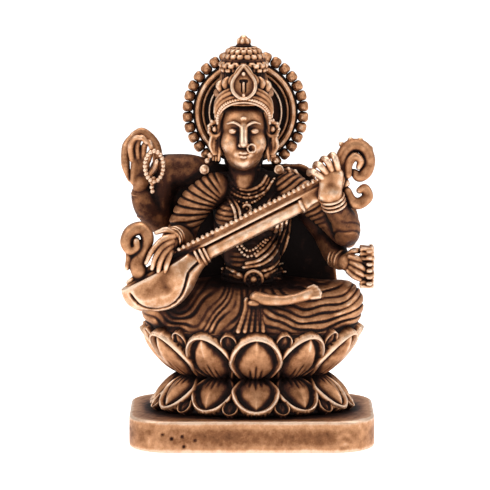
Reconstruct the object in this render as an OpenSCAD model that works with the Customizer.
// Statuette of a seated four-armed goddess who plays a lute, on a double lotus and a plinth.
// +Z is up and the figure faces -Y. The origin is the middle of the plinth's underside.
// right_ and left_ are the figure's own sides, so right_ pieces lie towards -X.
// Cast members meet on flat seats, round sockets or a shared curved wall, and none overlap.

/* [Plinth] */
// Width of the plinth
plinth_w = 54; // [50:1:66]
// Depth of the plinth
plinth_d = 34; // [32:1:44]
// Height of the plinth
plinth_h = 7; // [4:0.5:12]
// Radius of the plinth's upright corners
corner_r = 9; // [4:0.5:14]

/* [Lotus] */
// Height of the lower ring of petals
lower_h = 8.2; // [6:0.2:11]
// Height of the upper ring of petals
upper_h = 10.6; // [8:0.2:14]
// Half-width of the lower ring at its foot
foot_r = 22.6; // [19:0.2:24]
// Half-width of the lotus at its waist
waist_r = 13.2; // [10:0.2:17]
// Half-width of the lotus at its upper rim
rim_r = 24.8; // [22:0.2:28]
// Depth of the lotus, as a share of its width
lotus_flat = 0.62; // [0.55:0.01:0.7]
// Thickness of a petal
petal_t = 1.6; // [0.8:0.1:2.4]
// How round the lotus swells: 1 is a straight cone, less is a fuller bowl
bowl_curve = 0.55; // [0.5:0.05:1]
// Petals in each ring
petals = 12; // [8:1:16]
// Height of the bead ring that parts the two rings of petals
waist_ring_h = 0.8; // [0.4:0.1:1.6]

/* [Legs] */
// Distance of each knee from the middle
knee_x = 19.4; // [17:0.2:21]
// Radius of the skirt at a knee
knee_r = 5.2; // [4.4:0.1:6]
// Height of the wrapped skirt below the thighs
skirt_h = 6; // [4.5:0.5:8]
// Radius of a thigh at the knee
thigh_r = 4.4; // [3.4:0.1:5]
// Length of the crossed foot
foot_l = 14; // [10:0.5:16]

/* [Torso] */
// Height of the hips
hip_h = 5.8; // [4:0.2:8]
// Height from waist to neck
torso_h = 22.4; // [18:0.2:28]
// Half-width of the chest
chest_r = 10.6; // [9.8:0.1:13]
// Half-width of the waist
belly_r = 7; // [6:0.1:9]
// Depth of the body, as a share of its width
body_flat = 0.62; // [0.56:0.01:0.7]
// Half-distance between the flat seats of the arms
shoulder_half = 8.8; // [7.6:0.1:9.4]
// Thickness of the cloth and jewellery on the chest
dress_t = 0.9; // [0.5:0.1:1.4]

/* [Head] */
// Radius of the neck
neck_r = 2.7; // [2:0.1:3.4]
// Neck that shows between chest and chin
neck_h = 1.2; // [0.6:0.1:3]
// Half-width of the head
head_r = 5.4; // [4.6:0.1:6.4]
// Height of the head from chin to crown
head_h = 14.6; // [12.6:0.2:17]
// Radius of the gathered hair behind the head
hair_r = 6.6; // [6:0.1:7.6]

/* [Crown] */
// Radius of the crown's band
crown_r = 6.8; // [6:0.1:7.8]
// Height of the crown's band
band_h = 1.5; // [1:0.1:2.4]
// Height of the crown's body
crown_h = 5.6; // [4:0.2:8]
// Height of the parasol-shaped tier
tier_h = 4.6; // [3:0.2:6.5]
// Height of the finial
finial_h = 2.6; // [2:0.2:5]

/* [Halo] */
// Radius to the middle of the halo's knobs
halo_r = 12.8; // [11.6:0.1:15]
// Thickness of the halo's disc
halo_t = 2; // [1.2:0.1:3]
// Radius of a knob
knob_r = 1.3; // [0.9:0.05:1.5]
// Knobs that would fill the whole ring
knobs = 29; // [20:1:29]

/* [Arms] */
// Radius of an upper arm at the shoulder
shoulder_r = 3.1; // [2.4:0.1:3.5]
// Radius of an arm at the elbow
elbow_r = 2.7; // [2:0.1:3.1]
// Radius of an arm at the wrist
wrist_r = 1.9; // [1.4:0.1:2.4]
// Thickness of a bangle
bangle_t = 0.5; // [0.3:0.05:0.8]

/* [Veena] */
// Length of lute neck beyond the grip of the left hand
neck_past = 8.5; // [7.5:0.5:12]
// Radius of the bowl
bowl_r = 7; // [5.6:0.1:8]
// Thickness of the bowl
bowl_t = 6; // [4:0.1:7]
// Radius of the neck tube
tube_r = 1.5; // [1:0.1:2]
// Width of the fingerboard
board_w = 2.2; // [1.4:0.1:3]
// Frets on the fingerboard
frets = 20; // [8:1:24]

/* [Hidden] */
$fn = 48;
CAST_FN = 20; // facets of the spheres inside a hull
FAR = 200; // longer than anything here, for cutting blocks
LIMB_GROW = 1.04; // an elbow ball against the end of its upper arm
PLAY = 0.02; // gap where a curved neighbour only touches
BRONZE = [0.66, 0.42, 0.22];
DARK_BRONZE = [0.40, 0.26, 0.15];

// Heights of the stacked pieces
plinth_top = plinth_h;
waist_z = plinth_top + lower_h;
seat_z = waist_z + upper_h;
lap_z = seat_z + skirt_h;
belly_z = lap_z + hip_h;
neck_z = belly_z + torso_h;
chin_z = neck_z + neck_h;
crown_z = chin_z + head_h;
back_y = chest_r * body_flat - 0.5; // the flat back on which shawl and halo are seated

// The figure leans a little towards its right side
head_x = -1.8;
head_y = -2.6;
neck_at = [-1, -0.4];
halo_at = [-1.4, chin_z + 11.1];
hair_line = head_y + 1.4;

// The lute's pose: from the bowl above the right knee up past the left shoulder
play_y = -chest_r * body_flat - 3.2; // the plane in front of the chest in which it is held
bowl_at = [-knee_x - 0.6, play_y - 2.2, lap_z + 6.3];
grip_at = [shoulder_half + 4.2, play_y, neck_z - 5.4];
veena_run = grip_at - bowl_at;
veena_tilt = atan2(veena_run.z, norm([veena_run.x, veena_run.y]));
veena_yaw = atan2(veena_run.y, veena_run.x);
veena_l = norm(veena_run) + neck_past;
collar_x = 9.6;
board_z = tube_r * 0.6;
board_h = 1.6;
board_end = veena_l - 3; // leaves room for the head scroll
fret_h = 0.5;

// Joints of the four arms: shoulder, elbow, wrist and the point that the hand reaches for
front_right = [[-shoulder_half + 1.2, -3, neck_z - 3.4], [-shoulder_half - 6.4, -3.4, neck_z - 14.2],
    [-16.4, play_y + 0.2, lap_z + 14.6], [-18.2, play_y - 2.8, lap_z + 10.6]];
front_left = [[shoulder_half - 1.2, -3, neck_z - 3.4], [shoulder_half + 11.8, -3.6, neck_z - 14],
    [shoulder_half + 9.6, play_y + 0.8, neck_z - 7.4], [shoulder_half + 7.8, play_y - 2.2, neck_z - 1.6]];
rear_right = [[-shoulder_half + 1.2, back_y - 2.9, neck_z - 2.8], [-shoulder_half - 12, 3, neck_z - 11.6],
    [-shoulder_half - 15.4, 0.2, neck_z - 5.6], [-shoulder_half - 15.6, -0.8, neck_z + 3.4]];
rear_left = [[shoulder_half - 1.2, back_y - 2.9, neck_z - 3.2], [shoulder_half + 8, 3, neck_z - 14.6],
    [shoulder_half + 9.6, -3.2, lap_z + 8.2], [shoulder_half + 13.4, -5, lap_z + 8.6]];
arms = [front_right, front_left, rear_right, rear_left];
arm_split = 0.1; // the plane between the front and the rear pair
book_size = [2.6, 3.4, 8.6];
book_grip = 1.7; // from the middle of the palm to the book

// ---- shared shapes ----

// A lens with a point above and below, for petals and plaques
module lens(w, h) {
    r = (h * h + w * w) / (4 * w);
    intersection() {
        translate([w / 2 - r, 0]) circle(r);
        translate([r - w / 2, 0]) circle(r);
    }
}

// Stands a 2D outline up, facing -Y, and runs it from y0 to y1
module upright(y0, y1) {
    translate([0, y1, 0]) rotate([90, 0, 0]) linear_extrude(y1 - y0) children();
}

// Puts +Z along the line from a to b, starting at a
module along(a, b) {
    v = b - a;
    translate(a) rotate([0, acos(v.z / norm(v)), atan2(v.y, v.x)]) children();
}

// Everything above or below a height, and in front of or behind a plane
module above(z) { translate([-FAR / 2, -FAR / 2, z]) cube(FAR); }
module below(z) { translate([-FAR / 2, -FAR / 2, z - FAR]) cube(FAR); }
module behind(y) { translate([-FAR / 2, y, -FAR / 2]) cube(FAR); }
module ahead(y) { translate([-FAR / 2, y - FAR, -FAR / 2]) cube(FAR); }
module within_x(half) { translate([-half, -FAR / 2, -FAR / 2]) cube([2 * half, FAR, FAR]); }

// A ball whose facets suit a hull
module lump(p, r) { translate(p) sphere(r, $fn = CAST_FN); }

// A tube of changing radius along points in the XZ plane, with flat ends
module bent_tube(path, radii, sides = 10) {
    n = len(path);
    function heading(i) = path[min(i + 1, n - 1)] - path[max(i - 1, 0)];
    function across(i) = let(d = heading(i)) [-d.y, d.x] / norm(d);
    points = [for (i = [0:n - 1], k = [0:sides - 1])
        let(a = 360 * k / sides, s = path[i] + radii[i] * cos(a) * across(i))
        [s.x, radii[i] * sin(a), s.y]];
    walls = [for (i = [0:n - 2], k = [0:sides - 1])
        let(j = (k + 1) % sides)
        [i * sides + k, (i + 1) * sides + k, (i + 1) * sides + j, i * sides + j]];
    polyhedron(points, concat([[for (k = [0:sides - 1]) k]], walls,
        [[for (k = [sides - 1:-1:0]) (n - 1) * sides + k]]));
}

// ---- plinth and lotus ----

module plinth() {
    color(BRONZE) linear_extrude(plinth_h) {
        square([plinth_w - 2 * corner_r, plinth_d], center = true);
        square([plinth_w, plinth_d - 2 * corner_r], center = true);
        for (x = [-1, 1], y = [-1, 1])
            translate([x * (plinth_w / 2 - corner_r), y * (plinth_d / 2 - corner_r)]) circle(corner_r);
    }
}

// Wall radius at a share t of the way from the waist (0) to the foot or the rim (1)
function flare(t, r) = waist_r + (r - petal_t - waist_r) * pow(t, bowl_curve);
WALL_STEPS = 3;
LOTUS_FN = 144;
petal_step = 360 / petals;
function wall(z0, z1, r, grow = 0) =
    [for (i = [0:WALL_STEPS]) let(t = i / WALL_STEPS) [flare(t, r) + grow, z0 + (z1 - z0) * t]];

module lotus_core(z0, z1, r) {
    side = wall(z0, z1, r);
    scale([1, lotus_flat, 1]) rotate_extrude($fn = LOTUS_FN)
        polygon(concat([[0, side[0].y]], side, [[0, side[WALL_STEPS].y]]));
}

// An upright lens-shaped block that points outwards at an angle, its two tips cut flat
module petal_block(z0, z1, w, angle) {
    rotate(angle) translate([waist_r * 0.8, 0, (z0 + z1) / 2]) rotate([90, 0, 90])
        linear_extrude(FAR / 8) lens(w, abs(z1 - z0) * 1.06);
}

function petal_w(r) = PI * (waist_r + r) / petals * 0.92;

module petal_shell(z0, z1, r, t) {
    inner = wall(z0, z1, r);
    outer = wall(z0, z1, r, grow = t);
    rotate_extrude() polygon(concat(inner, [for (i = [WALL_STEPS:-1:0]) outer[i]]));
}

module petal_ring(z0, z1, r) {
    scale([1, lotus_flat, 1]) for (i = [0:petals - 1]) intersection() {
        petal_shell(z0, z1, r, petal_t);
        petal_block(z0, z1, petal_w(r), -90 + i * petal_step);
    }
}

module sepal_ring(z0, z1, r) {
    scale([1, lotus_flat, 1]) for (i = [0:petals - 1]) difference() {
        intersection() {
            petal_shell(z0, z1, r, petal_t / 2);
            petal_block(z0, z1, petal_w(r) * 0.7, -90 + (i + 0.5) * petal_step);
        }
        for (side = [0, 1]) petal_block(z0, z1, petal_w(r) + 2 * PLAY, -90 + (i + side) * petal_step);
    }
}

lower_top = waist_z - waist_ring_h / 2;
upper_bottom = waist_z + waist_ring_h / 2;
module lotus_foot() { color(DARK_BRONZE) lotus_core(lower_top, plinth_top, foot_r); }
module lower_petals() { color(BRONZE) petal_ring(lower_top, plinth_top, foot_r); }
module lower_sepals() { color(DARK_BRONZE) sepal_ring(lower_top, plinth_top, foot_r); }
module lotus_cup() { color(DARK_BRONZE) lotus_core(upper_bottom, seat_z, rim_r); }
module upper_petals() { color(BRONZE) petal_ring(upper_bottom, seat_z, rim_r); }
module upper_sepals() { color(DARK_BRONZE) sepal_ring(upper_bottom, seat_z, rim_r); }

module waist_ring() {
    color(BRONZE) translate([0, 0, lower_top]) scale([1, lotus_flat, 1])
        cylinder(h = waist_ring_h, r = waist_r + 0.6);
}

// ---- legs ----

module skirt_hull() {
    hull() {
        for (side = [-1, 1]) lump([side * knee_x, -2.4, seat_z + 3.8], knee_r);
        lump([0, -8.8, seat_z + 3.2], 4.2);
        lump([0, 4, seat_z + 3.8], knee_r);
    }
}

module skirt() {
    color(BRONZE) difference() {
        skirt_hull();
        below(seat_z);
        above(lap_z);
        behind(back_y);
    }
}

hip_seat = 7; // half-distance between the flat seats of the thighs
hip_r = max(belly_r * 1.4, (back_y + 0.2) / body_flat); // far enough back to meet the shawl
module thigh(side) {
    color(BRONZE) difference() {
        hull() {
            lump([side * 5, -1, lap_z + 0.6], thigh_r);
            lump([side * (knee_x - 1.6), -3, lap_z + 0.2], thigh_r * 0.9);
        }
        below(lap_z);
        above(belly_z - belt_h);
        within_x(hip_seat);
        if (side < 0) in_veena_frame() veena_bowl_block(PLAY);
    }
}

module right_thigh() { thigh(-1); }
module left_thigh() { thigh(1); }

module front_pleats() {
    color(BRONZE) difference() {
        hull() {
            lump([0.4, -12, seat_z + 1.6], 2.6);
            lump([0.4, -10.4, lap_z - 1], 1.7);
        }
        below(seat_z);
        above(lap_z);
        skirt_hull();
    }
}

foot_y = -9.4;
module crossed_foot() {
    color(BRONZE) difference() {
        hull() {
            lump([1.6, foot_y + 0.4, lap_z + 1.5], 2.1);
            lump([foot_l * 0.55, foot_y, lap_z + 1.4], 2.2);
            lump([foot_l + 0.4, foot_y + 1, lap_z + 1.5], 1.6);
        }
        below(lap_z);
        for (side = [-1, 1]) hull() {
            lump([side * 5, -1, lap_z + 0.6], thigh_r);
            lump([side * (knee_x - 1.6), -3, lap_z + 0.2], thigh_r * 0.9);
        }
    }
}

// ---- torso and dress ----

// Half-width of the body at a height above the belly line
side_line = [[0, belly_r], [0.22, belly_r * 1.04], [0.52, chest_r * 0.92], [0.78, chest_r],
             [0.91, chest_r * 0.82], [1, neck_r + 1.2]];
function body_at(t, grow = 0) = [lookup(t, side_line) + grow, belly_z + t * torso_h];
body_marks = [for (s = side_line) s[0]];

module body_lathe(grow = 0) {
    rotate_extrude() polygon(concat([[0, belly_z]], [for (t = body_marks) body_at(t, grow)], [[0, neck_z]]));
}

module hip_cone() {
    translate([0, 0, lap_z]) scale([1, body_flat, 1]) cylinder(h = hip_h, r1 = hip_r, r2 = belly_r);
}

module hips() {
    color(BRONZE) intersection() {
        hip_cone();
        within_x(hip_seat);
        ahead(back_y);
    }
}

module torso() {
    color(BRONZE) difference() {
        intersection() {
            scale([1, body_flat, 1]) body_lathe();
            within_x(shoulder_half);
            ahead(back_y);
        }
        neck_rod();
    }
}

// Cloth or metal of thickness t that follows the front of the body inside a 2D outline
module on_body(t) {
    intersection() {
        scale([1, body_flat, 1]) intersection() {
            rotate_extrude() polygon(concat([for (s = body_marks) body_at(s)],
                [for (i = [len(body_marks) - 1:-1:0]) body_at(body_marks[i], t)]));
            upright(-FAR / 4, 0) children();
        }
        within_x(shoulder_half);
    }
}

bust_x = 4.4;
bust_z = belly_z + torso_h * 0.58;
bust_r = 3.9;
module bust_outline() {
    for (side = [-1, 1]) translate([side * bust_x, bust_z]) circle(bust_r);
}

sash_w = 4.6;
module sash_outline() {
    difference() {
        translate([shoulder_half - 3.4, neck_z - 2]) rotate(28)
            translate([-sash_w / 2, -torso_h * 0.98]) square([sash_w, torso_h * 0.98]);
        bust_outline();
        choker_outline();
    }
}

choker_r = 6.2;
choker_w = 1.4;
module choker_outline() {
    translate([neck_at.x, neck_z]) difference() {
        circle(choker_r);
        circle(choker_r - choker_w);
    }
}

drop_r = 9.8;
module long_outline() {
    difference() {
        translate([neck_at.x, neck_z - 0.4]) scale([0.64, 1.18]) circle(drop_r);
        translate([neck_at.x, neck_z - 0.4]) scale([0.64, 1.18]) circle(drop_r - 1);
        bust_outline();
        sash_outline();
        choker_outline();
    }
}

module bust_balls(r) {
    for (side = [-1, 1]) translate([side * bust_x, -chest_r * body_flat + 2, bust_z]) sphere(r);
}

module bodice() {
    color(BRONZE) difference() {
        bust_balls(bust_r - PLAY);
        scale([1, body_flat, 1]) body_lathe();
    }
}

module sash() { color(BRONZE) on_body(dress_t) sash_outline(); }
module choker() { color(BRONZE) on_body(dress_t) choker_outline(); }
module long_necklace() { color(BRONZE) on_body(dress_t) long_outline(); }

pendant_r = 1;
pendant_x = neck_at.x + 0.6;
module pendant() {
    color(BRONZE) difference() {
        translate([pendant_x, 0, neck_z - choker_r - pendant_r - 0.3]) rotate([90, 0, 0])
            cylinder(h = chest_r * body_flat + dress_t, r = pendant_r);
        scale([1, body_flat, 1]) body_lathe();
        bust_balls(bust_r);
    }
}

belt_h = 1.8;
belt_r = belly_r * 1.04 + dress_t * 1.6;
module belt_round(z0, z1) {
    translate([0, 0, z0]) scale([1, body_flat, 1]) cylinder(h = z1 - z0, r = belt_r);
}

module belt() {
    color(BRONZE) difference() {
        belt_round(belly_z - belt_h, belly_z);
        hip_cone();
        behind(back_y);
    }
}

buckle_r = 2;
module belt_buckle() {
    color(BRONZE) difference() {
        translate([0.4, 0, belly_z - belt_h / 2]) rotate([90, 0, 0])
            cylinder(h = belt_r * body_flat + 0.9, r = buckle_r);
        belt_round(lap_z, belly_z + buckle_r);
    }
}

// A flat hanging cloth that backs the body between the rear arms
shawl_t = 2.2;
module shawl() {
    color(DARK_BRONZE) upright(back_y, back_y + shawl_t) difference() {
        polygon([[-15, seat_z], [-18, lap_z + 8], [-20.5, neck_z - 12], [-15, neck_z - 1], [-8, neck_z + 0.6],
            [8, neck_z + 0.6], [14, neck_z - 3], [19, neck_z - 14], [20.5, lap_z + 8], [15, seat_z]]);
        translate(halo_at) circle(halo_r + knob_r + 2 * PLAY);
    }
}

// ---- head and crown ----

module neck_rod() { translate([neck_at.x, neck_at.y, neck_z - 3]) cylinder(h = neck_h + 6, r = neck_r); }
module neck() { color(BRONZE) neck_rod(); }

module head_egg() {
    translate([head_x, head_y, chin_z + head_h / 2]) rotate_extrude() intersection() {
        scale([head_r, head_h * 0.58]) circle(1);
        translate([0, -head_h]) square(2 * head_h);
    }
}

module head() {
    color(BRONZE) difference() {
        head_egg();
        above(crown_z);
        below(chin_z);
        behind(hair_line);
        neck_rod();
    }
}

module hair() {
    color(DARK_BRONZE) difference() {
        translate([head_x, back_y - hair_r + 0.3, crown_z - hair_r]) {
            sphere(hair_r);
            translate([0, 0, -hair_r * 0.9]) cylinder(h = hair_r * 0.9, r = hair_r);
        }
        above(crown_z);
        ahead(hair_line);
        behind(back_y);
        below(neck_z);
        neck_rod();
    }
}

ear_z = chin_z + head_h * 0.5;
ear_h = 5.2;
module ear_ornaments() {
    color(BRONZE) difference() {
        for (side = [-1, 1]) translate([head_x + side * (head_r + 0.2), hair_line - 1.4, ear_z - ear_h / 2])
            cylinder(h = ear_h, r = 1.4);
        head_egg();
        behind(hair_line);
    }
}

drop_z = ear_z - ear_h / 2 - 1.5;
module eardrops() {
    color(BRONZE) difference() {
        for (side = [-1, 1]) translate([head_x + side * (head_r + 0.9), hair_line - 1.4, drop_z]) sphere(1.6);
        above(ear_z - ear_h / 2);
        head_egg();
        behind(hair_line);
    }
}

body_base = crown_z + band_h;
tier_base = body_base + crown_h;
module on_crown(z) { translate([head_x, head_y + 1.4, z]) children(); }
module crown_cone() { on_crown(body_base) cylinder(h = crown_h, r1 = crown_r * 0.94, r2 = crown_r * 0.52); }

module crown_band() {
    color(BRONZE) difference() {
        on_crown(crown_z) cylinder(h = band_h, r = crown_r);
        behind(back_y);
    }
}
module crown_body() {
    color(BRONZE) difference() {
        crown_cone();
        behind(back_y);
    }
}

plaque_w = 4.2;
plaque_h = 8.4;
module crown_plaque() {
    color(BRONZE) difference() {
        on_crown(body_base) upright(-crown_r - 0.6, -crown_r * 0.3) intersection() {
            translate([0, plaque_h * 0.32]) lens(plaque_w, plaque_h);
            translate([-plaque_w, 0]) square([2 * plaque_w, crown_h - PLAY]);
        }
        crown_cone();
    }
}

module crown_tier() {
    color(BRONZE) difference() {
        on_crown(tier_base) {
            cylinder(h = tier_h * 0.3, r = crown_r * 0.88);
            translate([0, 0, tier_h * 0.3])
                cylinder(h = tier_h * 0.7, r1 = crown_r * 0.78, r2 = crown_r * 0.3);
        }
        behind(back_y);
    }
}

module crown_finial() {
    color(BRONZE) on_crown(tier_base + tier_h) {
        cylinder(h = finial_h * 0.45, r1 = crown_r * 0.16, r2 = crown_r * 0.26);
        translate([0, 0, finial_h * 0.45])
            cylinder(h = finial_h * 0.55, r1 = crown_r * 0.26, r2 = crown_r * 0.06);
    }
}

// ---- halo ----

module at_halo(y) { translate([halo_at.x, y, halo_at.y]) children(); }
module halo_disc() {
    color(DARK_BRONZE) at_halo(back_y + halo_t) rotate([90, 0, 0]) cylinder(h = halo_t, r = halo_r - knob_r);
}

ring_r = 10.5;
ring_t = 1.2;
module halo_ring() {
    color(BRONZE) difference() {
        at_halo(back_y) rotate([90, 0, 0]) difference() {
            cylinder(h = ring_t, r = ring_r + 0.6);
            translate([0, 0, -1]) cylinder(h = ring_t + 2, r = ring_r - 0.6);
        }
        below(neck_z + 0.6);
        on_crown(tier_base) cylinder(h = tier_h, r = crown_r * 0.88);
    }
}

// Knobs stand on the disc's edge, and the lowest ones are left out behind the shoulders
knob_gap = 88;
module halo_knobs() {
    step = 360 / knobs;
    color(BRONZE) difference() {
        for (i = [0:knobs - 1])
            if (abs(i * step - 180) > knob_gap / 2) at_halo(back_y + halo_t / 2)
                rotate([0, i * step, 0]) translate([0, 0, halo_r]) sphere(knob_r);
        at_halo(back_y + halo_t + 1) rotate([90, 0, 0]) cylinder(h = halo_t + 3, r = halo_r - knob_r + PLAY);
        below(neck_z - 1.4);
    }
}

// ---- arms ----

module arm_side(front) {
    if (front) behind(arm_split);
    else ahead(arm_split);
}

module upper_arm_cone(arm) {
    along(arm[0], arm[1]) cylinder(h = norm(arm[1] - arm[0]), r1 = shoulder_r, r2 = elbow_r);
}

module upper_arm(arm, front) {
    color(BRONZE) difference() {
        union() {
            upper_arm_cone(arm);
            translate(arm[0]) sphere(shoulder_r * LIMB_GROW);
            translate(arm[1]) sphere(elbow_r * LIMB_GROW);
        }
        within_x(shoulder_half);
        arm_side(front);
        behind(back_y);
    }
}

module forearm_cone(arm) {
    along(arm[1], arm[2]) cylinder(h = norm(arm[2] - arm[1]), r1 = elbow_r * 0.94, r2 = wrist_r);
}

module forearm(arm) {
    color(BRONZE) difference() {
        forearm_cone(arm);
        translate(arm[1]) sphere(elbow_r * LIMB_GROW);
        upper_arm_cone(arm);
        behind(back_y);
    }
}

// A palm that grows from the flat end of its forearm towards the point it reaches for
module palm(arm, r) {
    hull() {
        along(arm[1], arm[2]) translate([0, 0, norm(arm[2] - arm[1])])
            cylinder(h = 0.1, r = wrist_r, $fn = CAST_FN);
        lump(arm[3], r);
    }
}

// Four fingers from knuckles k to tips t, spread along s
module fingers(k, t, s, r = 0.75) {
    for (i = [-1.5:1.5]) hull() {
        lump(k + i * s, r);
        lump(t + i * s, r * 0.8);
    }
}

module hand_cut(arm) {
    difference() {
        children();
        along(arm[2], arm[1]) cylinder(h = FAR / 8, r = 6);
    }
}

module right_hand() {
    color(BRONZE) difference() {
        hand_cut(front_right) {
            palm(front_right, 1.9);
            fingers(front_right[3] + [-0.2, -0.6, -0.6], front_right[3] + [-0.6, -1.4, -4], [0.8, 0.1, -0.2]);
        }
        in_veena_frame() veena_block(PLAY);
    }
}

module left_hand() {
    color(BRONZE) difference() {
        hand_cut(front_left) {
            palm(front_left, 2.2);
            fingers(front_left[3] + [-1.6, -1, 0.8], front_left[3] + [-3.4, 0.6, 2.2], [0.9, 0.1, 0.6]);
        }
        in_veena_frame() veena_block(PLAY);
    }
}

module rear_right_hand() {
    color(BRONZE) hand_cut(rear_right) {
        palm(rear_right, 2.3);
        fingers(rear_right[3] + [0, 0, 0.6], rear_right[3] + [0.6, -1.4, 4], [1.1, 0, 0.1]);
    }
}

module rear_left_hand() {
    color(BRONZE) hand_cut(rear_left) {
        palm(rear_left, book_grip);
        fingers(rear_left[3] + [-0.2, -0.2, -0.6], rear_left[3] + [0.3, -0.6, -3.4], [0, 0.9, 0.1]);
    }
}

module right_sleeve() { upper_arm(front_right, true); }
module right_forearm() { forearm(front_right); }
module left_sleeve() { upper_arm(front_left, true); }
module left_forearm() { forearm(front_left); }
module rear_right_upper_arm() { upper_arm(rear_right, false); }
module rear_right_forearm() { forearm(rear_right); }
module rear_left_upper_arm() { upper_arm(rear_left, false); }
module rear_left_forearm() { forearm(rear_left); }

bangle_h = 0.9;
module bangles() {
    color(BRONZE) for (arm = arms) difference() {
        along(arm[2], arm[1]) translate([0, 0, 0.5]) cylinder(h = bangle_h, r = wrist_r + bangle_t + 0.2);
        forearm_cone(arm);
    }
}

rosary_r = 2.6;
rosary_beads = 16;
bead_r = rosary_r * sin(180 / rosary_beads) - PLAY;
module rosary() {
    color(BRONZE) translate(rear_right[3] + [3, -2.8, -2])
        for (i = [0:rosary_beads - 1]) rotate([0, i * 360 / rosary_beads, 0])
            translate([0, 0, rosary_r]) sphere(bead_r);
}

module book() {
    color(BRONZE) translate(rear_left[3] + [book_grip + PLAY, -book_size.y / 2 - 0.4, -book_size.z * 0.6])
        cube(book_size);
}

// ---- veena ----

// +X runs up the neck from the middle of the bowl, and the fingerboard faces +Z
module in_veena_frame() { translate(bowl_at) rotate([0, -veena_tilt, veena_yaw]) children(); }
module lying(x0, x1, r) { translate([x0, 0, 0]) rotate([0, 90, 0]) cylinder(h = x1 - x0, r = r); }

bowl_top = 1.4;
module veena_bowl_block(grow = 0) {
    intersection() {
        translate([0, bowl_t / 2 + grow, 0]) rotate([90, 0, 0])
            cylinder(h = bowl_t + 2 * grow, r = bowl_r + grow);
        translate([-FAR / 2, -FAR / 2, bowl_top + grow - FAR]) cube(FAR);
    }
}

module board_block(grow = 0, above = 0) {
    translate([0, -board_w / 2 - grow, board_z]) cube([board_end, board_w + 2 * grow, board_h + above]);
}

// The whole lute near the hands, for cutting a grip
module veena_block(grow) {
    veena_bowl_block(grow);
    lying(0, veena_l, tube_r + grow);
    board_block(grow, fret_h + grow);
}

module veena_bowl() {
    color(BRONZE) difference() {
        in_veena_frame() difference() {
            veena_bowl_block();
            lying(2, veena_l, tube_r);
            board_block();
        }
        skirt_hull();
    }
}

module veena_tube() { color(BRONZE) in_veena_frame() lying(2, veena_l, tube_r); }

module veena_collar() {
    color(BRONZE) in_veena_frame() difference() {
        lying(collar_x, collar_x + 1.6, tube_r + 0.7);
        lying(0, veena_l, tube_r);
        board_block();
    }
}

module veena_fingerboard() {
    color(BRONZE) in_veena_frame() difference() {
        board_block();
        lying(2, veena_l, tube_r);
    }
}

fret_pitch = (veena_l - 12) / frets;
module veena_frets() {
    color(BRONZE) in_veena_frame() for (i = [0:frets - 1])
        translate([7 + i * fret_pitch, -board_w / 2, board_z + board_h])
            cube([0.6, board_w, fret_h]);
}

// A scroll that starts along +X at the origin, rises and curls in on itself
function curl(turns, r0, r1, steps) = [for (i = [0:steps])
    let(t = i / steps, a = -90 + turns * 360 * t, r = r0 + (r1 - r0) * t)
    [r * cos(a), r0 + r * sin(a)]];
CURL_STEPS = 18;
module scroll(turns, r0, r1, thick, thin) {
    path = concat([[-0.6, 0]], curl(turns, r0, r1, CURL_STEPS));
    bent_tube(path, [for (i = [0:CURL_STEPS + 1]) thick + (thin - thick) * i / (CURL_STEPS + 1)]);
}

module veena_head_scroll() {
    color(BRONZE) in_veena_frame() translate([veena_l + 0.6, 0, 0]) scroll(0.95, 3.6, 1.5, 1.5, 0.8);
}

tail_r = 2.6;
module veena_tail_scroll() {
    color(BRONZE) in_veena_frame() intersection() {
        translate([-bowl_r + 2.2, 0, bowl_top]) rotate([0, veena_tilt - 90, 0]) mirror([0, 0, 1]) tail_curve();
        translate([-FAR / 2, -FAR / 2, bowl_top]) cube(FAR);
    }
}

// Starts upright on the bowl, leans outwards, then curls back in at its top
module tail_curve() {
    stem = [[-0.6, 0], [0.6, -0.2], [1.9, -0.9], [3.2, -1.1], [4.6, -0.6]];
    top = [for (i = [1:CURL_STEPS]) let(t = i / CURL_STEPS, a = -64 + 290 * t, r = tail_r - 1.3 * t)
        [5.8 + r * cos(a), 1.7 + r * sin(a)]];
    path = concat(stem, top);
    bent_tube(path, [for (i = [0:len(path) - 1]) 1.5 - 0.7 * i / (len(path) - 1)]);
}

peg_l = 3.2; // from the middle of the tube, on the side away from the hand
module veena_pegs() {
    color(BRONZE) in_veena_frame() difference() {
        for (i = [0:2]) translate([veena_l - 1.6 - i * 1.5, 0, -0.2]) rotate([-90, 0, 0])
            cylinder(h = peg_l, r = 0.5);
        lying(0, veena_l + 1, tube_r);
    }
}

// ---- what is drawn ----

plinth();
lotus_foot();
lower_petals();
lower_sepals();
waist_ring();
lotus_cup();
upper_petals();
upper_sepals();
skirt();
right_thigh();
left_thigh();
front_pleats();
crossed_foot();
hips();
belt();
belt_buckle();
torso();
bodice();
sash();
choker();
long_necklace();
pendant();
shawl();
neck();
head();
hair();
ear_ornaments();
eardrops();
crown_band();
crown_body();
crown_plaque();
crown_tier();
crown_finial();
halo_disc();
halo_ring();
halo_knobs();
right_sleeve();
right_forearm();
right_hand();
left_sleeve();
left_forearm();
left_hand();
rear_right_upper_arm();
rear_right_forearm();
rear_right_hand();
rear_left_upper_arm();
rear_left_forearm();
rear_left_hand();
bangles();
rosary();
book();
veena_bowl();
veena_tube();
veena_collar();
veena_fingerboard();
veena_frets();
veena_tail_scroll();
veena_head_scroll();
veena_pegs();
